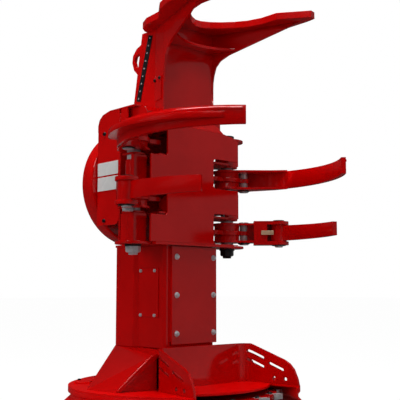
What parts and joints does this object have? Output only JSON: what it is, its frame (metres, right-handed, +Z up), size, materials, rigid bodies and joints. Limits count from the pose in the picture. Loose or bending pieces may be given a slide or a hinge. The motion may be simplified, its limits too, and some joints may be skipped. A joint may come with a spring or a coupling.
{
  "type": "disc saw felling head",
  "caption": "Tree felling head with a disc saw under a guarded butt plate, two pairs of interleaved clamp arms, a forked top horn and a turning wrist.",
  "frame": {"origin": "centre of the saw hub's flat underside, on the saw axis; the skid shoes' soles lie 10 mm below it", "axes": "+Z up along the saw axis, -Y towards the tree, +X to the right seen from the tree"},
  "size_m": [1.3444, 1.5659, 2.258],
  "materials": {
    "red_paint": "gloss",
    "bare_steel": "satin",
    "dark_steel": "satin",
    "chrome_rod": "polished",
    "tan_pad": "matte",
    "pale_plate": "satin"
  },
  "bodies": {
    "frame": {"butt_plate": "red_paint", "housing_wall": "red_paint", "skid_shoes": "dark_steel", "housing_cover": "red_paint", "cover_bolts": "dark_steel", "pocket_guard": "red_paint", "motor_skirt": "red_paint", "spindle_housing": "red_paint", "saw_motor": "dark_steel", "tower": "red_paint", "front_cover": "red_paint", "side_covers": "red_paint", "tower_cover_bolts": "bare_steel", "bottom_plate": "red_paint", "shaft_shelves": "red_paint", "pocket_face": "red_paint", "back_plate": "red_paint", "bearing_blocks": "red_paint", "bearing_caps": "red_paint", "cap_bolts": "red_paint", "mast": "red_paint", "mast_cover": "red_paint", "horn_plate": "red_paint", "horn_shelf": "red_paint", "lifting_ears": "red_paint", "wrist_sides": "red_paint", "wrist_roof": "red_paint", "marker_plates": "pale_plate", "slew_plate": "red_paint", "slew_motor": "dark_steel", "left_cylinder": "red_paint", "right_cylinder": "red_paint"},
    "saw": {"saw_disc": "red_paint", "saw_teeth": "bare_steel", "saw_bolts": "dark_steel", "saw_spindle": "bare_steel", "hub_cap": "red_paint"},
    "wrist": {"slew_drum": "red_paint", "boom_adaptor": "red_paint", "boom_bushes": "bare_steel"},
    "left_arms": {"left_shaft": "bare_steel", "left_arm_pins": "dark_steel", "left_hub_plates": "red_paint", "left_upper_arm": "red_paint", "left_lower_arm": "red_paint", "left_pad": "tan_pad", "left_tip_pin": "dark_steel", "left_crank": "red_paint"},
    "left_tip": {"left_tip_arm": "red_paint"},
    "left_rod": {"left_rod": "chrome_rod"},
    "right_arms": {"right_shaft": "bare_steel", "right_arm_pins": "dark_steel", "right_hub_plates": "red_paint", "right_upper_arm": "red_paint", "right_lower_arm": "red_paint", "right_pad": "tan_pad", "right_tip_pin": "dark_steel", "right_crank": "red_paint"},
    "right_tip": {"right_tip_arm": "red_paint"},
    "right_rod": {"right_rod": "chrome_rod"}
  },
  "joints": [
    {"name": "saw_spin", "type": "hinge", "parent": "frame", "child": "saw", "pos_m": [0, 0, 0.115], "axis": [0, 0, 1], "continuous": true},
    {"name": "wrist_turn", "type": "hinge", "parent": "frame", "child": "wrist", "pos_m": [0, 0.375, 1.32], "axis": [0, 1, 0], "range_deg": [-180, 180]},
    {"name": "left_arms_swing", "type": "hinge", "parent": "frame", "child": "left_arms", "pos_m": [-0.36, -0.025, 1.19], "axis": [0, 0, 1], "range_deg": [-5, 70]},
    {"name": "left_tip_fold", "type": "hinge", "parent": "left_arms", "child": "left_tip", "pos_m": [-0.58, -0.248, 1.19], "axis": [0, 0, 1], "range_deg": [0, 25]},
    {"name": "left_rod_slide", "type": "slide", "parent": "frame", "child": "left_rod", "axis": [-1, 0, 0], "range_m": [-0.011, 0.145]},
    {"name": "right_arms_swing", "type": "hinge", "parent": "frame", "child": "right_arms", "pos_m": [0.36, -0.025, 1.03], "axis": [0, 0, -1], "range_deg": [-5, 70]},
    {"name": "right_tip_fold", "type": "hinge", "parent": "right_arms", "child": "right_tip", "pos_m": [0.58, -0.248, 1.03], "axis": [0, 0, -1], "range_deg": [0, 25]},
    {"name": "right_rod_slide", "type": "slide", "parent": "frame", "child": "right_rod", "axis": [1, 0, 0], "range_m": [-0.011, 0.145]}
  ],
  "couplings": [
    {"joint": "left_rod_slide", "follows": "left_arms_swing", "m_per_rad": 0.118},
    {"joint": "right_rod_slide", "follows": "right_arms_swing", "m_per_rad": 0.118}
  ]
}
